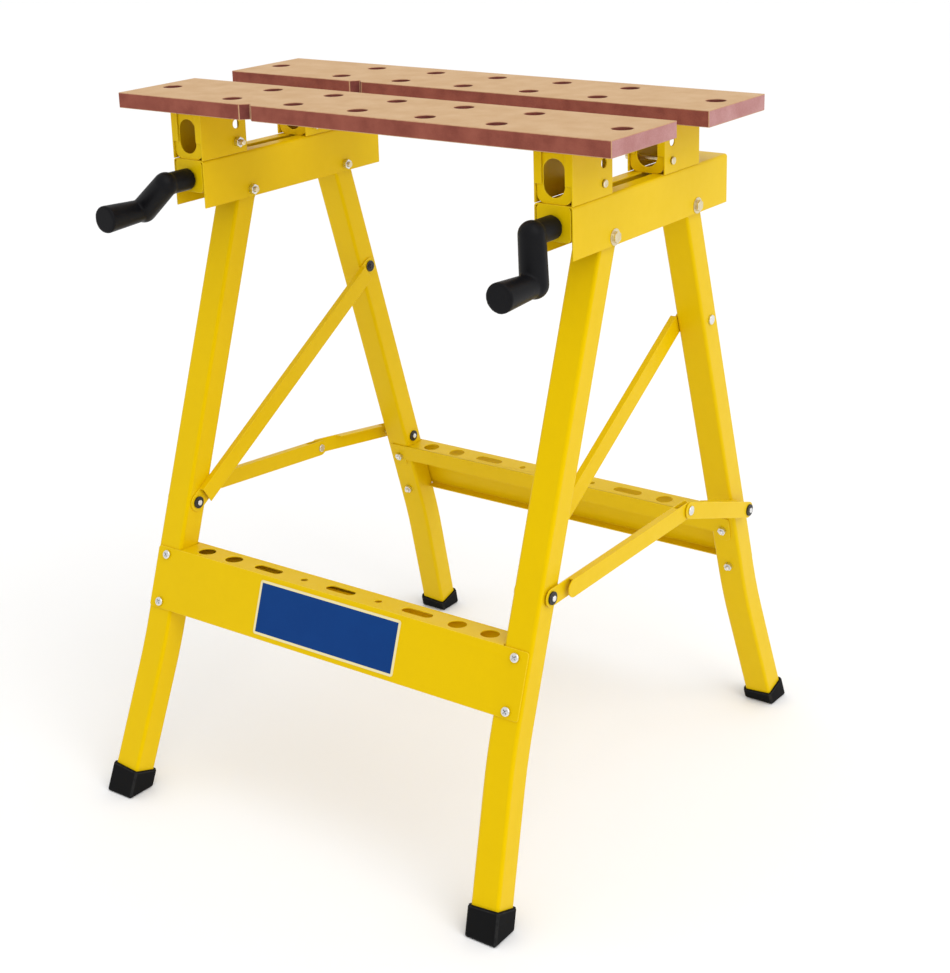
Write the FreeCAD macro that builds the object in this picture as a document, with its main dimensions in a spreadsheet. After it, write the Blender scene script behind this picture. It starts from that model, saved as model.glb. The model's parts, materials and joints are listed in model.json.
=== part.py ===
import FreeCAD, Part
import os
import re
import Sketcher

Vector = FreeCAD.Vector
Placement = FreeCAD.Placement
Rotation = FreeCAD.Rotation
xAxis, yAxis, zAxis = Vector(1, 0, 0), Vector(0, 1, 0), Vector(0, 0, 1)

# Frame: +X along the jaw boards, +Y to the back, +Z up. Places are worked out from the
# middle of the four leg pivots, and then every part is set back so that the origin lies on
# the floor under the middle of the whole bench. Millimetres and degrees.
dimensions = {
    "setback": 12.3,
    # jaw boards
    "table_height": 741, "board_length": 605, "board_width": 113, "board_thickness": 16,
    "front_board_y": -170.5, "rear_board_y": 2.5, "dog_radius": 10, "dog_pitch": 82,
    "dog_row_offset": 31, "dog_end_x": 279, "vee_x": -124, "vee_half": 8,
    # side channels
    "side_x": 228, "sheet": 1.5, "channel_width": 42, "channel_height": 50,
    "channel_length": 290, "channel_y": -150, "channel_bend": 3, "tab_half": 18.5,
    "tab_bottom": 16, "slot_half_width": 6, "slot_front": -66, "slot_rear": 108,
    # jaw brackets
    "bracket_length": 68, "bracket_height": 52, "front_bracket_y": -116,
    "rear_bracket_y": 47.5, "cradle_half": 19, "cradle_height": 47, "cradle_corner": 9,
    "cradle_inset": 1.9, "oval_radius": 11.5, "oval_half": 6.5, "oval_centre": 24,
    "ear_inner": 12.5, "ear_bottom": 18, "cross_bolt_y": 19.5, "cross_bolt_z": 12,
    "access_hole_z": 31, "access_hole_radius": 4.8, "board_screw_y": 24,
    # legs and feet
    "pivot_half": 78.5, "pivot_height": 631, "front_lean": 19, "rear_lean": 17,
    "leg_width": 32, "leg_depth": 28, "leg_wall": 1.5, "leg_corner": 3.5,
    "bend_station": 470, "bend_radius": 800, "leg_length": 652, "flare": 4.5,
    "foot_width": 36, "foot_depth": 32, "foot_grip": 11, "foot_tail": 40,
    # trays
    "tray_top": 396, "tray_bottom": 462.5, "tray_half": 242, "tray_rise": 8.3,
    "tray_lip": 9, "tray_flange": 21, "tray_inner_half": 211.5, "tray_ear_half": 237,
    "ear_drop": 32, "tray_screw_upper": 404, "tray_screw_lower": 455.5,
    "tray_hole_radius": 9.5, "tray_small_radius": 3.8, "tray_slot_half": 12,
    "tray_slot_radius": 6, "tray_pitch": 49, "tray_hole_inner": 147,
    "tray_hole_outer": 186, "label_half": 92, "label_top": 401, "label_bottom": 457.5,
    "label_thickness": 0.6,
    # braces and folding struts
    "lower_pivot": 343, "upper_pivot": 135, "strut_pivot": 380, "brace_web": 7,
    "brace_flange": 20, "long_link_right": 249, "short_link_right": 138,
    "long_link_left": 245.9, "short_link_left": 136, "link_web": 8,
    "link_flange": 18, "long_offset": 1.8, "short_offset": 10.4,
    # vise screws, nuts and crank handles
    "screw_height": 653, "screw_radius": 5, "screw_front": -172, "screw_rear": 145,
    "nut_width": 26, "nut_length": 20, "nut_bottom": 645.8, "nut_top": 670.6,
    "collar_radius": 8, "collar_length": 6, "hub_radius": 11.5, "hub_front": -198,
    "hub_rear": -152, "arm_radius": 13, "arm_length": 46, "grip_radius": 14.5,
    "grip_length": 56, "right_crank_turn": -2, "left_crank_turn": 49,
    # fasteners
    "pin_radius": 3, "pin_clearance": 0.08, "nut_across": 5.8,
    "nut_height": 5, "push_nut_radius": 6.5, "push_nut_height": 1.6,
}

doc = FreeCAD.newDocument("portable_workbench")
sheet = doc.addObject("Spreadsheet::Sheet", "dims")
for row, (alias, size) in enumerate(dimensions.items(), start=1):
    sheet.set(f"A{row}", alias)
    sheet.set(f"B{row}", str(size))
    sheet.setAlias(f"B{row}", alias)
doc.recompute()

nodes = []


def bound(expression):
    """The expression with the sheet's name before each alias."""
    return re.sub(r"[a-z_]{3,}", lambda word: "dims." + word.group(), str(expression))


def number(expression):
    result = sheet.evalExpression(bound(expression))
    return float(getattr(result, "Value", result))


def bind(target, **sizes):
    for name, expression in sizes.items():
        target.setExpression(name.replace("__", "."), bound(expression))


def node(target, label, placement=Placement()):
    """Sets a finished sub-part back to its place, under the name that its file takes."""
    target.Label = label
    setback = Placement(Vector(0, number("setback"), 0), Rotation())
    target.Placement = setback.multiply(placement)
    nodes.append(target)
    return target


# ---- sketches -------------------------------------------------------------------

def fix(sketch, geometry, point, u, v):
    """Ties a point of the sketch to two dims expressions."""
    for kind, expression in (("DistanceX", u), ("DistanceY", v)):
        datum = number(expression)
        index = sketch.addConstraint(
            Sketcher.Constraint(kind, -1, 1, geometry, point, datum))
        sketch.renameConstraint(index, f"{kind}{index}")
        sketch.setExpression(f"Constraints.{kind}{index}", bound(expression))


def set_radius(sketch, geometry, expression):
    index = sketch.addConstraint(Sketcher.Constraint("Radius", geometry, number(expression)))
    sketch.renameConstraint(index, f"Radius{index}")
    sketch.setExpression(f"Constraints.Radius{index}", bound(expression))


def circle(u, v, radius):
    def draw(sketch):
        centre = Vector(number(u), number(v), 0)
        index = sketch.addGeometry(Part.Circle(centre, zAxis, number(radius)))
        fix(sketch, index, 3, u, v)
        set_radius(sketch, index, radius)
    return draw


def polygon(*corners):
    def draw(sketch):
        points = [Vector(number(u), number(v), 0) for u, v in corners]
        first = sketch.GeometryCount
        for start, end in zip(points, points[1:] + points[:1]):
            sketch.addGeometry(Part.LineSegment(start, end))
        for step, (u, v) in enumerate(corners):
            follower = first + (step + 1) % len(corners)
            sketch.addConstraint(
                Sketcher.Constraint("Coincident", first + step, 2, follower, 1))
            fix(sketch, first + step, 1, u, v)
    return draw


def rectangle(u0, u1, v0, v1):
    return polygon((u0, v0), (u1, v0), (u1, v1), (u0, v1))


def rounded_rectangle(u0, u1, v0, v1, radius):
    """Four lines joined by four tangent arcs; the arcs' centres carry the sizes."""
    def draw(sketch):
        r = number(radius)
        low = Vector(number(u0) + r, number(v0) + r, 0)
        high = Vector(number(u1) - r, number(v1) - r, 0)
        centres = [low, Vector(high.x, low.y, 0), high, Vector(low.x, high.y, 0)]
        first = sketch.GeometryCount
        for quarter, centre in enumerate(centres):
            start = Rotation(zAxis, 180 + 90 * quarter).multVec(xAxis * r)
            end = Rotation(zAxis, 270 + 90 * quarter).multVec(xAxis * r)
            middle = (start + end).normalize() * r
            arc = Part.Arc(centre + start, centre + middle, centre + end)
            sketch.addGeometry(arc)
            following = centres[(quarter + 1) % 4]
            sketch.addGeometry(Part.LineSegment(centre + end, following + end))
        for quarter in range(4):
            arc, line = first + 2 * quarter, first + 2 * quarter + 1
            after = first + (2 * quarter + 2) % 8
            sketch.addConstraint(Sketcher.Constraint("Tangent", arc, 2, line, 1))
            sketch.addConstraint(Sketcher.Constraint("Tangent", line, 2, after, 1))
            way = "Vertical" if quarter % 2 else "Horizontal"
            sketch.addConstraint(Sketcher.Constraint(way, line))
            if quarter:
                sketch.addConstraint(Sketcher.Constraint("Equal", first, arc))
        fix(sketch, first, 3, f"{u0} + ({radius})", f"{v0} + ({radius})")
        fix(sketch, first + 4, 3, f"{u1} - ({radius})", f"{v1} - ({radius})")
        set_radius(sketch, first, radius)
    return draw


def slot(u, v, half, radius, upright=False):
    """A round-ended slot: two arcs joined by two tangent lines."""
    def draw(sketch):
        r, reach = number(radius), number(half)
        along = yAxis if upright else xAxis
        side = zAxis.cross(along)
        middle = Vector(number(u), number(v), 0)
        ends = [middle + along * reach, middle - along * reach]
        first = sketch.GeometryCount
        for end, way in zip(ends, (1, -1)):
            sketch.addGeometry(Part.Arc(end - side * r * way, end + along * r * way,
                                        end + side * r * way))
            other = middle * 2 - end
            sketch.addGeometry(Part.LineSegment(end + side * r * way, other + side * r * way))
        for step in (0, 2):
            after = first + (step + 2) % 4
            sketch.addConstraint(Sketcher.Constraint("Tangent", first + step, 2,
                                                     first + step + 1, 1))
            sketch.addConstraint(Sketcher.Constraint("Tangent", first + step + 1, 2,
                                                     after, 1))
        sketch.addConstraint(Sketcher.Constraint("Equal", first, first + 2))
        for step, sign in ((0, "+"), (2, "-")):
            shift = f"{sign} ({half})"
            fix(sketch, first + step, 3, u if upright else f"{u} {shift}",
                f"{v} {shift}" if upright else v)
        set_radius(sketch, first, radius)
    return draw


# ---- bodies ---------------------------------------------------------------------

class Piece:
    """A PartDesign body made by pads and pockets of sketches on its own planes.

    A pad grows along +Z, -Y or +X from its start, and a pocket cuts the opposite way.
    """

    def __init__(self, name):
        self.name = name
        self.body = doc.addObject("PartDesign::Body", name)

    def sketch(self, plane, start, shapes, tilt=None):
        sketch = self.body.newObject("Sketcher::SketchObject", self.name + "_sketch")
        roles = {feature.Role: feature for feature in self.body.Origin.OriginFeatures}
        sketch.AttachmentSupport = [(roles[plane + "_Plane"], "")]
        sketch.MapMode = "FlatFace"
        if tilt:
            sketch.AttachmentOffset = Placement(Vector(), tilt)
        sketch.setExpression("AttachmentOffset.Base.z", bound(start))
        for shape in shapes:
            shape(sketch)
        return sketch

    def pad(self, plane, start, length, *shapes):
        feature = self.body.newObject("PartDesign::Pad", self.name + "_pad")
        feature.Profile = self.sketch(plane, start, shapes)
        bind(feature, Length=length)
        return self

    def cut(self, plane, start, length, *shapes, tilt=None):
        feature = self.body.newObject("PartDesign::Pocket", self.name + "_pocket")
        feature.Profile = self.sketch(plane, start, shapes, tilt)
        if length == "through":
            feature.Type = "ThroughAll"
        else:
            bind(feature, Length=length)
        return self

    def slab(self, low, high, *shapes):
        """A pad on the XZ plane between two places along Y."""
        return self.pad("XZ", f"-({high})", f"({high}) - ({low})", *shapes)

    def finish(self, placement=Placement()):
        doc.recompute()
        return node(self.body, self.name, placement)


def at(x="0", y="0", z="0", axis=zAxis, angle=0):
    """A placement at three dims expressions, turned about one axis."""
    return Placement(Vector(number(x), number(y), number(z)), Rotation(axis, angle))


def side_name(side):
    return "right" if side > 0 else "left"


# ---- fasteners from primitives ---------------------------------------------------

def rod(name, radius, length, placement):
    """A cylinder along its own +Z."""
    cylinder = doc.addObject("Part::Cylinder", name)
    bind(cylinder, Radius=radius, Height=length)
    cylinder.Placement = placement
    return cylinder


def hexagon(name, across, length, placement):
    prism = doc.addObject("Part::Prism", name)
    prism.Polygon = 6
    bind(prism, Circumradius=across, Height=length)
    prism.Placement = placement
    return prism


def frustum(name, low, high, length, placement):
    cone = doc.addObject("Part::Cone", name)
    bind(cone, Radius1=low, Radius2=high, Height=length)
    cone.Placement = placement
    return cone


def fused(name, *shapes):
    fusion = doc.addObject("Part::MultiFuse", name)
    fusion.Shapes = list(shapes)
    return fusion


def bored(name, shape, tool):
    cut = doc.addObject("Part::Cut", name)
    cut.Base = shape
    cut.Tool = tool
    return cut


def ring(name, outer, inner, length, placement):
    return bored(name, rod(name + "_outside", outer, length, placement),
                 rod(name + "_bore", inner, length, placement))


def headed_bolt(name, head, radius, head_height, length, placement, hexagonal=True):
    """A bolt whose shank runs along +Z and whose head lies below Z = 0."""
    below = placement.multiply(Placement(Vector(0, 0, -number(head_height)), Rotation()))
    make = hexagon if hexagonal else rod
    return fused(name, make(name + "_head", head, head_height, below),
                 rod(name + "_shank", radius, length, placement))


def bored_nut(name, across, bore, height, placement):
    return bored(name, hexagon(name + "_body", across, height, placement),
                 rod(name + "_bore", bore, height, placement))


def group(name, members):
    """Identical fasteners as one node of separate solids."""
    compound = doc.addObject("Part::Compound", name)
    compound.Links = members
    doc.recompute()
    return node(compound, name)


# ---- side channels ----------------------------------------------------------------

def channel(side):
    """An inverted U with a round-cornered tab at each end for the vise screw."""
    half, inner = "channel_width / 2", "channel_width / 2 - sheet"
    bend = "channel_bend"
    rear = "channel_y + channel_length"
    piece = Piece("channel_" + side_name(side))
    piece.pad("XZ", f"-({rear})", "channel_length",
              rounded_rectangle(f"-({half})", half, "-2 * channel_bend", "channel_height", bend))
    piece.cut("XZ", "-channel_y", "through",
              rounded_rectangle(f"-({inner})", inner, "-3 * channel_bend",
                                "channel_height - sheet", f"{bend} - sheet"))
    piece.cut("XZ", "-channel_y", "through",
              rectangle("-channel_width", "channel_width", "-4 * channel_bend", "0"))
    tab = rounded_rectangle("-tab_half", "tab_half", "tab_bottom",
                            "channel_height - sheet / 2", "3 * sheet")
    piece.pad("XZ", "-channel_y - 2 * sheet", "2 * sheet", tab)
    piece.pad("XZ", f"-({rear})", "2 * sheet", tab)
    centre = "(slot_front + slot_rear) / 2"
    reach = "(slot_rear - slot_front) / 2 - slot_half_width"
    piece.cut("XY", "channel_height + sheet", "4 * sheet",
              slot("0", centre, reach, "slot_half_width", upright=True),
              circle("0", "front_bracket_y", "pin_radius + pin_clearance"))
    pivot = "pivot_height - (table_height - board_thickness - bracket_height - channel_height)"
    piece.cut("YZ", half, "through",
              circle("-pivot_half", pivot, "pin_radius"),
              circle("pivot_half", pivot, "pin_radius"))
    journal = "screw_radius + pin_clearance"
    height = "screw_height - (table_height - board_thickness - bracket_height - channel_height)"
    piece.cut("XZ", "-channel_y + sheet", "through", circle("0", height, journal))
    base = "table_height - board_thickness - bracket_height - channel_height"
    piece.finish(at(f"{side} * side_x", z=base))


for side in (-1, 1):
    channel(side)


# ---- jaw boards and their brackets ---------------------------------------------------

def board(name, front):
    """A board with two staggered rows of dog holes and a vee across its front edge."""
    middle = "board_width / 2"
    holes = [circle(f"{end} * dog_end_x", middle, "dog_radius") for end in (-1, 1)]
    for row in (-1, 1):
        for place in range(-2, 3):
            holes.append(circle(f"{place} * dog_pitch", f"{middle} + {row} * dog_row_offset",
                                "dog_radius"))
    for side in (-1, 1):
        for end in (-1, 1):
            holes.append(circle(f"{side} * side_x",
                                f"{bracket_y(name)} - ({front}) + {end} * board_screw_y",
                                "pin_radius * 0.6"))
    dogs, pilots = holes[:12], holes[12:]
    half = "board_length / 2"
    piece = Piece(name)
    piece.pad("XY", "0", "board_thickness", rectangle(f"-{half}", half, "0", "board_width"))
    piece.cut("XY", "board_thickness", "through", *dogs)
    piece.cut("XY", "board_thickness * 0.7", "through", *pilots)
    piece.cut("XY", "board_thickness", "through",
              polygon(("vee_x - vee_half", "-1"), ("vee_x - vee_half", "0"),
                      ("vee_x", "vee_half"), ("vee_x + vee_half", "0"),
                      ("vee_x + vee_half", "-1")))
    piece.finish(at(y=front, z="table_height - board_thickness"))


def bracket_y(name):
    return "front_bracket_y" if name.startswith("front") else "rear_bracket_y"


def bracket_placement(jaw, side):
    """Both rear brackets are turned round, so their side holes face the front ones."""
    turn = 0 if jaw == "front" else 180
    base = "table_height - board_thickness - bracket_height"
    return at(f"{side} * side_x", bracket_y(jaw), base, angle=turn)


def saddle(jaw, side):
    """The upper half of a bracket: an inverted U with ears folded round its ends."""
    half, inner = "channel_width / 2", "channel_width / 2 - sheet"
    reach = "bracket_length / 2"
    piece = Piece(f"{jaw}_saddle_{side_name(side)}")
    piece.pad("XZ", f"-{reach}", "bracket_length",
              rounded_rectangle(f"-({half})", half, "-2 * channel_bend", "bracket_height",
                                "channel_bend"))
    piece.cut("XZ", reach, "through",
              rounded_rectangle(f"-({inner})", inner, "-3 * channel_bend",
                                "bracket_height - sheet", "channel_bend - sheet"))
    piece.cut("XZ", reach, "through",
              rectangle("-channel_width", "channel_width", "-4 * channel_bend", "0"))
    top = "bracket_height - sheet / 2"
    ears = [rectangle(f"-({inner}) - sheet / 2", "-ear_inner", "ear_bottom", top),
            rectangle("ear_inner", f"{inner} + sheet / 2", "ear_bottom", top)]
    piece.pad("XZ", f"{reach} - sheet", "sheet", *ears)
    piece.pad("XZ", f"-{reach}", "sheet", *ears)
    piece.cut("YZ", half, "through",
              circle("cross_bolt_y", "cross_bolt_z", "pin_radius"),
              circle("cross_bolt_y", "access_hole_z", "access_hole_radius"))
    piece.cut("XY", "bracket_height", "3 * sheet",
              circle("0", "-board_screw_y", "pin_radius * 0.8"),
              circle("0", "board_screw_y", "pin_radius * 0.8"))
    piece.finish(bracket_placement(jaw, side))


def cradle(jaw, side):
    """The lower half: a floor and two end plates with tall oval openings."""
    reach = "bracket_length / 2 - cradle_inset"
    wall = "sheet"
    piece = Piece(f"{jaw}_cradle_{side_name(side)}")
    piece.pad("XZ", f"-({reach})", f"2 * ({reach})",
              rounded_rectangle("-cradle_half", "cradle_half", "0", "cradle_height",
                                "cradle_corner"))
    hollow = f"{reach} - {wall}"
    piece.cut("XY", "cradle_height + sheet", "cradle_height",
              rectangle("-channel_width", "channel_width", f"-({hollow})", hollow))
    piece.cut("XZ", "bracket_length", "through",
              slot("0", "oval_centre", "oval_half", "oval_radius", upright=True))
    piece.cut("XY", "sheet", "through", circle("0", "0", "pin_radius"))
    piece.finish(bracket_placement(jaw, side))


for jaw in ("front", "rear"):
    board(jaw + "_board", f"{jaw}_board_y")
    for side in (-1, 1):
        saddle(jaw, side)
        cradle(jaw, side)


def board_screws(jaw):
    """Screws up through the saddle's top into the board."""
    screws = []
    under = "table_height - board_thickness - sheet"
    for side in (-1, 1):
        for end in (-1, 1):
            place = at(f"{side} * side_x", f"{bracket_y(jaw)} + {end} * board_screw_y", under)
            screws.append(headed_bolt(f"{jaw}_board_screw", "pin_radius * 1.3",
                                      "pin_radius * 0.6", "sheet", "board_thickness * 0.6",
                                      place, hexagonal=False))
    group(f"{jaw}_board_screws", screws)


def bracket_fasteners(jaw):
    """Cross bolts with their heads outside, and bolts down through the cradle's floor."""
    cross, nuts, down = [], [], []
    base = "table_height - board_thickness - bracket_height"
    facing = 1 if jaw == "front" else -1
    for side in (-1, 1):
        outer = f"{side} * (side_x + channel_width / 2)"
        inner = f"{side} * (side_x - channel_width / 2)"
        y = f"{bracket_y(jaw)} + {facing} * cross_bolt_y"
        z = f"{base} + cross_bolt_z"
        cross.append(headed_bolt(f"{jaw}_cross_bolt", "pin_radius * 1.25", "pin_radius",
                                 "1.6 * sheet", "channel_width + 2 * nut_height",
                                 at(outer, y, z, yAxis, -90 * side), hexagonal=False))
        nuts.append(bored_nut(f"{jaw}_cross_nut", "nut_across", "pin_radius", "nut_height",
                              at(inner, y, z, yAxis, -90 * side)))
        down.append(headed_bolt(f"{jaw}_down_bolt", "nut_across", "pin_radius", "nut_height",
                                "9 * sheet", at(f"{side} * side_x", bracket_y(jaw),
                                                f"{base} + sheet", xAxis, 180)))
        if jaw == "front":
            nuts.append(bored_nut("front_down_nut", "nut_across", "pin_radius", "nut_height",
                                  at(f"{side} * side_x", bracket_y(jaw),
                                     f"{base} - sheet - nut_height")))
    group(f"{jaw}_cross_bolts", cross)
    group(f"{jaw}_bracket_nuts", nuts)
    group(f"{jaw}_down_bolts", down)


for jaw in ("front", "rear"):
    board_screws(jaw)
    bracket_fasteners(jaw)


# ---- vise screws, nuts and crank handles -----------------------------------------------

def vise_nut(side):
    """A block on the screw that slides under the channel's slot."""
    piece = Piece("vise_nut_" + side_name(side))
    half, reach = "nut_width / 2", "nut_length / 2"
    piece.pad("XY", "nut_bottom", "nut_top - nut_bottom",
              rectangle(f"-{half}", half, f"-{reach}", reach))
    piece.cut("XZ", "nut_length", "through",
              circle("0", "screw_height", "screw_radius + pin_clearance"))
    piece.cut("XY", "nut_top", "nut_top - screw_height - screw_radius - sheet",
              circle("0", "0", "pin_radius"))
    piece.finish(at(f"{side} * side_x", "rear_bracket_y"))


def vise_screw(side):
    """A plain shaft with a collar behind the channel's front tab."""
    shaft = rod("screw_shaft", "screw_radius", "screw_rear - screw_front",
                at(y="screw_front", axis=xAxis, angle=-90))
    collar = rod("screw_collar", "collar_radius", "collar_length",
                 at(y="channel_y + 2 * sheet + 0.3", axis=xAxis, angle=-90))
    screw = fused("vise_screw", shaft, collar)
    doc.recompute()
    node(screw, "vise_screw_" + side_name(side), at(f"{side} * side_x", z="screw_height"))


def crank_handle(side):
    """A hub on the screw, an arm at right angles to it and a flared grip."""
    turn = f"{side_name(side)}_crank_turn"
    middle = "(hub_front + arm_radius)"
    hub = rod("hub", "hub_radius", "hub_rear - hub_front - arm_radius",
              at(y=middle, axis=xAxis, angle=-90))
    knuckle = doc.addObject("Part::Sphere", "knuckle")
    bind(knuckle, Radius="arm_radius")
    knuckle.Placement = at(y=middle)
    arm = frustum("arm", "arm_radius", "arm_radius * 1.05", "arm_length",
                  at(y=middle, axis=xAxis, angle=180))
    elbow = doc.addObject("Part::Sphere", "elbow")
    bind(elbow, Radius="arm_radius * 1.05")
    elbow.Placement = at(y=middle, z="-arm_length")
    grip = frustum("grip", "0.88 * arm_radius", "grip_radius", "grip_length",
                   at(y=middle, z="-arm_length", axis=xAxis, angle=90))
    solid = fused("crank_solid", hub, knuckle, arm, elbow, grip)
    socket = rod("crank_socket", "screw_radius", "hub_rear - screw_front",
                 at(y="screw_front", axis=xAxis, angle=-90))
    handle = bored("crank_handle", solid, socket)
    doc.recompute()
    node(handle, "crank_handle_" + side_name(side),
         at(f"{side} * side_x", z="screw_height", axis=yAxis, angle=number(turn)))


for side in (-1, 1):
    vise_nut(side)
    vise_screw(side)
    crank_handle(side)


# ---- leg frames ----------------------------------------------------------------------------
# Each frame is drawn with its legs hanging down -Z from the pivot at its own origin and its
# outer face towards -Y; frame_placement leans it, and turns the rear one round.

frames = {"front": ("-pivot_half", "front_lean", 0), "rear": ("pivot_half", "rear_lean", 180)}


def frame_placement(frame):
    y, lean, turn = frames[frame]
    leaning = Rotation(xAxis, -number(lean) if frame == "front" else number(lean))
    spot = Vector(0, number(y), number("pivot_height"))
    return Placement(spot, leaning.multiply(Rotation(zAxis, turn)))


def frame_side(frame, side):
    """The local X sign that puts a piece on the wanted side of the bench."""
    return side if frame == "front" else -side


def leg_placement(frame, side):
    local = frame_side(frame, side)
    turn = 0 if local > 0 else 180
    shift = Placement(Vector(local * number("side_x"), 0, 0), Rotation(zAxis, turn))
    return frame_placement(frame).multiply(shift)


def leg(frame, side):
    """A box tube, straight to the bend station and then curving outwards to the foot."""
    name = f"{frame}_leg_{side_name(side)}"
    piece = Piece(name)
    half, depth = "leg_width / 2", "leg_depth / 2"
    profile = piece.sketch("XY", "0", [
        rounded_rectangle(f"-{half}", half, f"-{depth}", depth, "leg_corner"),
        rounded_rectangle(f"-{half} + leg_wall", f"{half} - leg_wall",
                          f"-{depth} + leg_wall", f"{depth} - leg_wall",
                          "leg_corner - leg_wall")])
    route = piece.sketch("XZ", "0", [leg_route])
    pipe = piece.body.newObject("PartDesign::AdditivePipe", name + "_tube")
    pipe.Profile = profile
    pipe.Spine = (route, ["Edge1", "Edge2", "Edge3"])
    pipe.Transition = 0
    piece.pad("YZ", f"-{half}", "leg_width", circle("0", "0", depth))
    piece.cut("YZ", f"{half} - leg_wall", "leg_width - 2 * leg_wall",
              circle("0", "0", f"{depth} - leg_wall"))
    running = "pin_radius + pin_clearance"
    holes = [circle("0", "0", running)]
    if frame == "front":
        holes.append(circle("0", "-lower_pivot", "pin_radius"))
    else:
        holes.append(circle("0", "-upper_pivot", "pin_radius"))
        holes.append(circle("0", "-strut_pivot", "pin_radius"))
    piece.cut("YZ", half, "through", *holes)
    piece.cut("XZ", "leg_depth", "through",
              circle("0", "-tray_screw_upper", "pin_radius * 0.8"),
              circle("0", "-tray_screw_lower", "pin_radius * 0.8"))
    piece.finish(leg_placement(frame, side))


def leg_route(sketch):
    """Straight down, a gentle arc of the bend radius, and straight on to the end."""
    station, radius = number("bend_station"), number("bend_radius")
    flare, length = number("flare"), number("leg_length")
    spot = Vector(0, -station, 0)
    centre = spot + xAxis * radius
    turned = Rotation(zAxis, flare)
    end = centre + turned.multVec(-xAxis * radius)
    middle = centre + Rotation(zAxis, flare / 2).multVec(-xAxis * radius)
    away = turned.multVec(-yAxis)
    finish = end + away * ((length + end.y) / -away.y)
    sketch.addGeometry(Part.LineSegment(Vector(0, 0, 0), spot))
    sketch.addGeometry(Part.Arc(spot, middle, end))
    sketch.addGeometry(Part.LineSegment(end, finish))
    fix(sketch, 0, 1, "0", "0")
    fix(sketch, 0, 2, "0", "-bend_station")
    sketch.addConstraint(Sketcher.Constraint("Tangent", 0, 2, 1, 1))
    sketch.addConstraint(Sketcher.Constraint("Tangent", 1, 2, 2, 1))
    set_radius(sketch, 1, "bend_radius")
    sketch.addConstraint(Sketcher.Constraint("DistanceY", -1, 1, 2, 2, -length))


for frame in frames:
    for side in (-1, 1):
        leg(frame, side)


def leg_end(frame, side):
    """The middle of the leg's lower end, with its Z axis back along the bent tube."""
    radius, flare = number("bend_radius"), number("flare")
    turned = Rotation(zAxis, flare).multVec(xAxis)
    drop = number("leg_length - bend_station") - radius * turned.y
    out = radius * (1 - turned.x) + drop * turned.y / turned.x
    spot = Placement(Vector(out, 0, -number("leg_length")), Rotation(yAxis, -flare))
    return leg_placement(frame, side).multiply(spot)


def box(name, length, width, height, place, below):
    """A box centred on the place in X and Y that starts below it."""
    block = doc.addObject("Part::Box", name)
    bind(block, Length=length, Width=width, Height=height)
    corner = Vector(-number(length) / 2, -number(width) / 2, -number(below))
    block.Placement = place.multiply(Placement(corner, Rotation()))
    return block


def foot(frame, side):
    """A cap pushed over the leg's end, its sole cut level with the floor."""
    name = f"{frame}_foot_{side_name(side)}"
    end = leg_end(frame, side)
    cap = box(name + "_cap", "foot_width", "foot_depth", "foot_grip + foot_tail", end,
              "foot_tail")
    socket = box(name + "_socket", "leg_width", "leg_depth", "foot_grip", end, "0")
    ground = Placement(Vector(end.Base.x, end.Base.y, 0), Rotation())
    floor = box(name + "_floor", "4 * foot_width", "4 * foot_depth", "2 * foot_tail",
                ground, "2 * foot_tail")
    shape = bored(name, bored(name + "_hollow", cap, socket), floor)
    doc.recompute()
    node(shape, name)


def tray(frame):
    """A folded tray bolted across the legs: a wide face, a top and a narrow flange."""
    face, back = "leg_depth / 2 + sheet", "leg_depth / 2"
    piece = Piece(f"{frame}_tray")
    piece.slab(f"-({face})", f"-({back})",
               rounded_rectangle("-tray_half", "tray_half", "-tray_bottom", "-tray_top",
                                 "2 * sheet"))
    piece.pad("YZ", "-tray_inner_half", "2 * tray_inner_half",
              polygon((f"-({face})", "-tray_top"), (face, "-tray_top + tray_rise"),
                      (face, "-tray_top + tray_rise - sheet"),
                      (f"-({face})", "-tray_top - sheet")))
    piece.pad("YZ", "-tray_inner_half", "2 * tray_inner_half",
              rectangle(f"-({face})", f"-({back}) + tray_lip", "-tray_bottom",
                        "-tray_bottom + sheet"))
    piece.slab(back, face,
               rounded_rectangle("-tray_ear_half", "tray_ear_half",
                                 "-tray_top + tray_rise - tray_flange",
                                 "-tray_top + tray_rise", "sheet"))
    piece.slab(back, face, *[
        rounded_rectangle(f"{end} * side_x - 4.5 * sheet - pin_radius / 2",
                          f"{end} * side_x + 4.5 * sheet + pin_radius / 2",
                          "-tray_top - ear_drop + tray_rise + sheet",
                          "-tray_top + tray_rise - sheet", "4.5 * sheet")
        for end in (-1, 1)])
    slope = Vector(0, number(f"2 * ({face})"), number("tray_rise"))
    holes = [slot("0", "0", "tray_slot_half", "tray_slot_radius")]
    for end in (-1, 1):
        holes.append(slot(f"{end} * 2 * tray_pitch", "0", "tray_slot_half", "tray_slot_radius"))
        holes.append(circle(f"{end} * tray_pitch", "0", "tray_small_radius"))
        holes.append(circle(f"{end} * tray_hole_inner", "0", "tray_hole_radius"))
        holes.append(circle(f"{end} * tray_hole_outer", "0", "tray_hole_radius"))
    piece.cut("XY", "tray_rise / 2 - tray_top", "3 * sheet", *holes,
              tilt=Rotation(yAxis, slope))
    piece.cut("XZ", "leg_depth", "through", *[
        circle(f"{end} * side_x", f"-tray_screw_{level}", "pin_radius * 0.8")
        for end in (-1, 1) for level in ("upper", "lower")])
    piece.finish(frame_placement(frame))


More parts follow.
